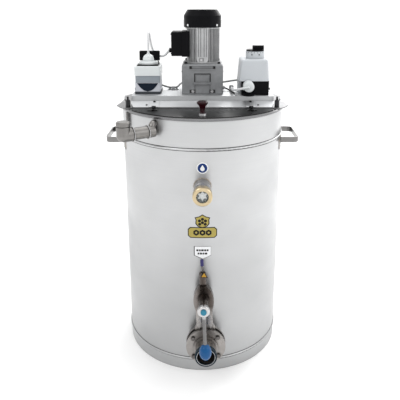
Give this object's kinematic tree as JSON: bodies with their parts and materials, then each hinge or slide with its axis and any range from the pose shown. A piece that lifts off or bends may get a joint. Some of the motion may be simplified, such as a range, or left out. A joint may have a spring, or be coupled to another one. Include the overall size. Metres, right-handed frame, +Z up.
{
  "type": "honey creaming tank",
  "caption": "Jacketed upright honey tank with a geared stirrer on a bridge, hinged lids, water filler, level window and a lever outlet valve.",
  "frame": {"origin": "centre of the tank's base, on the floor", "axes": "+Z up along the tank's axis, -Y towards the outlet valve, +X to the right seen from the front"},
  "size_m": [0.598, 0.6515, 1.088],
  "materials": {
    "brushed_jacket": "fine brushed stainless steel",
    "inner_steel": "satin stainless steel",
    "polished_steel": "polished stainless steel",
    "bridge_steel": "bright rolled stainless sheet",
    "lid_steel": "mirror stainless sheet",
    "valve_steel": "warm satin cast stainless steel",
    "pipe_steel": "matt cast stainless steel",
    "dark_fastener": "dark oxide fasteners",
    "handle_steel": "satin flat bar",
    "brass_ring": "satin brass",
    "sight_glass": "clear glass",
    "reflector_black": "black reflector",
    "copper_heater": "sheathed element",
    "white_bush": "white bearing plastic",
    "dark_ring": "dark blue-black plastic",
    "blue_knob": "glossy blue plastic",
    "blue_cap": "light blue plastic",
    "purple_grip": "purple-blue sleeve",
    "burgundy_knob": "glossy burgundy plastic",
    "gearbox_grey": "grey painted casting",
    "motor_aluminium": "die-cast aluminium",
    "gear_steel": "machined steel gears",
    "motor_core": "steel rotor",
    "black_cover": "black painted sheet",
    "black_plastic": "black plastic",
    "white_plastic": "white plastic",
    "fascia_grey": "pale violet-grey plastic",
    "band_grey": "mid-grey plastic",
    "light_grey": "light grey plastic",
    "cord_grey": "grey cable sheath",
    "cord_white": "white cable sheath",
    "cord_black": "black cable sheath",
    "fitting_grey": "grey cable fittings"
  },
  "bodies": {
    "tank": {"base_plate": "inner_steel", "jacket_shell": "brushed_jacket", "inner_tank": "inner_steel", "rim_ring": "polished_steel", "heating_element": "copper_heater", "bottom_bearing": "white_bush", "right_handle": "handle_steel", "left_handle": "handle_steel", "sight_coupling": "pipe_steel", "sight_ring": "brass_ring", "sight_glass": "sight_glass", "sight_reflector": "reflector_black", "filler_pipe": "pipe_steel", "filler_elbow": "pipe_steel", "vent_pipe": "handle_steel", "valve_wall_flange": "valve_steel", "valve_body": "valve_steel", "outlet_nozzle": "valve_steel", "outlet_ring": "dark_ring", "valve_bolts": "polished_steel", "bridge": "bridge_steel", "bridge_base_plate": "bridge_steel", "bridge_studs": "dark_fastener", "bridge_leaves": "bridge_steel", "gearbox_housing": "gearbox_grey", "motor_housing": "motor_aluminium", "fan_cover": "black_cover", "terminal_box": "black_plastic", "controller_fascia": "fascia_grey", "controller_band": "band_grey", "controller_cap": "white_plastic", "controller_socket": "black_plastic", "motor_plug": "white_plastic", "heater_socket": "black_plastic", "heater_cover": "light_grey", "heater_plug": "white_plastic", "motor_lead": "cord_white", "link_lead": "cord_grey", "heater_lead": "cord_white", "thermostat_lead": "cord_black", "cord_fittings": "fitting_grey"},
    "filler_plug": {"filler_plug": "pipe_steel"},
    "valve_gate": {"gate": "inner_steel", "stem_grip": "purple_grip"},
    "valve_lever": {"lever": "polished_steel", "spindle": "polished_steel", "lever_knob": "blue_knob", "hub_cap": "blue_cap"},
    "front_lid": {"front_lid": "lid_steel", "front_lid_knob": "burgundy_knob"},
    "rear_lid": {"rear_lid": "lid_steel", "rear_lid_knob": "burgundy_knob"},
    "stirrer": {"stirrer": "inner_steel", "output_gear": "gear_steel"},
    "idler": {"idler_gear": "gear_steel"},
    "rotor": {"rotor": "motor_core", "fan": "black_plastic"},
    "left_flap": {"left_socket_flap": "black_plastic"},
    "right_flap": {"right_socket_flap": "black_plastic"},
    "switch": {"rotary_switch": "black_plastic"}
  },
  "joints": [
    {"name": "filler_plug_turn", "type": "hinge", "parent": "tank", "child": "filler_plug", "pos_m": [-0.21251, -0.26978, 0.798], "axis": [0, 0, 1], "continuous": true},
    {"name": "lever_swing", "type": "hinge", "parent": "tank", "child": "valve_lever", "pos_m": [0.00317, -0.365, 0.28786], "axis": [0, 1, 0], "range_deg": [0, 180]},
    {"name": "gate_lift", "type": "slide", "parent": "tank", "child": "valve_gate", "axis": [-0.0419, 0, 0.9991], "range_m": [0, 0.048]},
    {"name": "front_lid_hinge", "type": "hinge", "parent": "tank", "child": "front_lid", "pos_m": [0, -0.122, 0.8142], "axis": [-1, 0, 0], "range_deg": [0, 90]},
    {"name": "rear_lid_hinge", "type": "hinge", "parent": "tank", "child": "rear_lid", "pos_m": [0, 0.122, 0.8142], "axis": [1, 0, 0], "range_deg": [0, 90]},
    {"name": "stirrer_turn", "type": "hinge", "parent": "tank", "child": "stirrer", "pos_m": [0, 0, 0.5], "axis": [0, 0, 1], "continuous": true},
    {"name": "idler_turn", "type": "hinge", "parent": "tank", "child": "idler", "pos_m": [0, 0.03188, 0.88], "axis": [0, 0, 1], "continuous": true},
    {"name": "rotor_turn", "type": "hinge", "parent": "tank", "child": "rotor", "pos_m": [0, 0, 0.98], "axis": [0, 0, 1], "continuous": true},
    {"name": "left_flap_hinge", "type": "hinge", "parent": "tank", "child": "left_flap", "pos_m": [-0.166, 0.028, 0.9285], "axis": [1, 0, 0], "range_deg": [0, 25]},
    {"name": "right_flap_hinge", "type": "hinge", "parent": "tank", "child": "right_flap", "pos_m": [0.137, -0.0755, 0.8505], "axis": [-1, 0, 0], "range_deg": [0, 20]},
    {"name": "switch_turn", "type": "hinge", "parent": "tank", "child": "switch", "pos_m": [0.16, -0.022, 0.97], "axis": [0, 0, 1], "range_deg": [0, 90]}
  ],
  "couplings": [
    {"joint": "gate_lift", "follows": "lever_swing", "m_per_rad": 0.015279},
    {"joint": "idler_turn", "follows": "stirrer_turn", "ratio": -4},
    {"joint": "rotor_turn", "follows": "stirrer_turn", "ratio": 16}
  ]
}
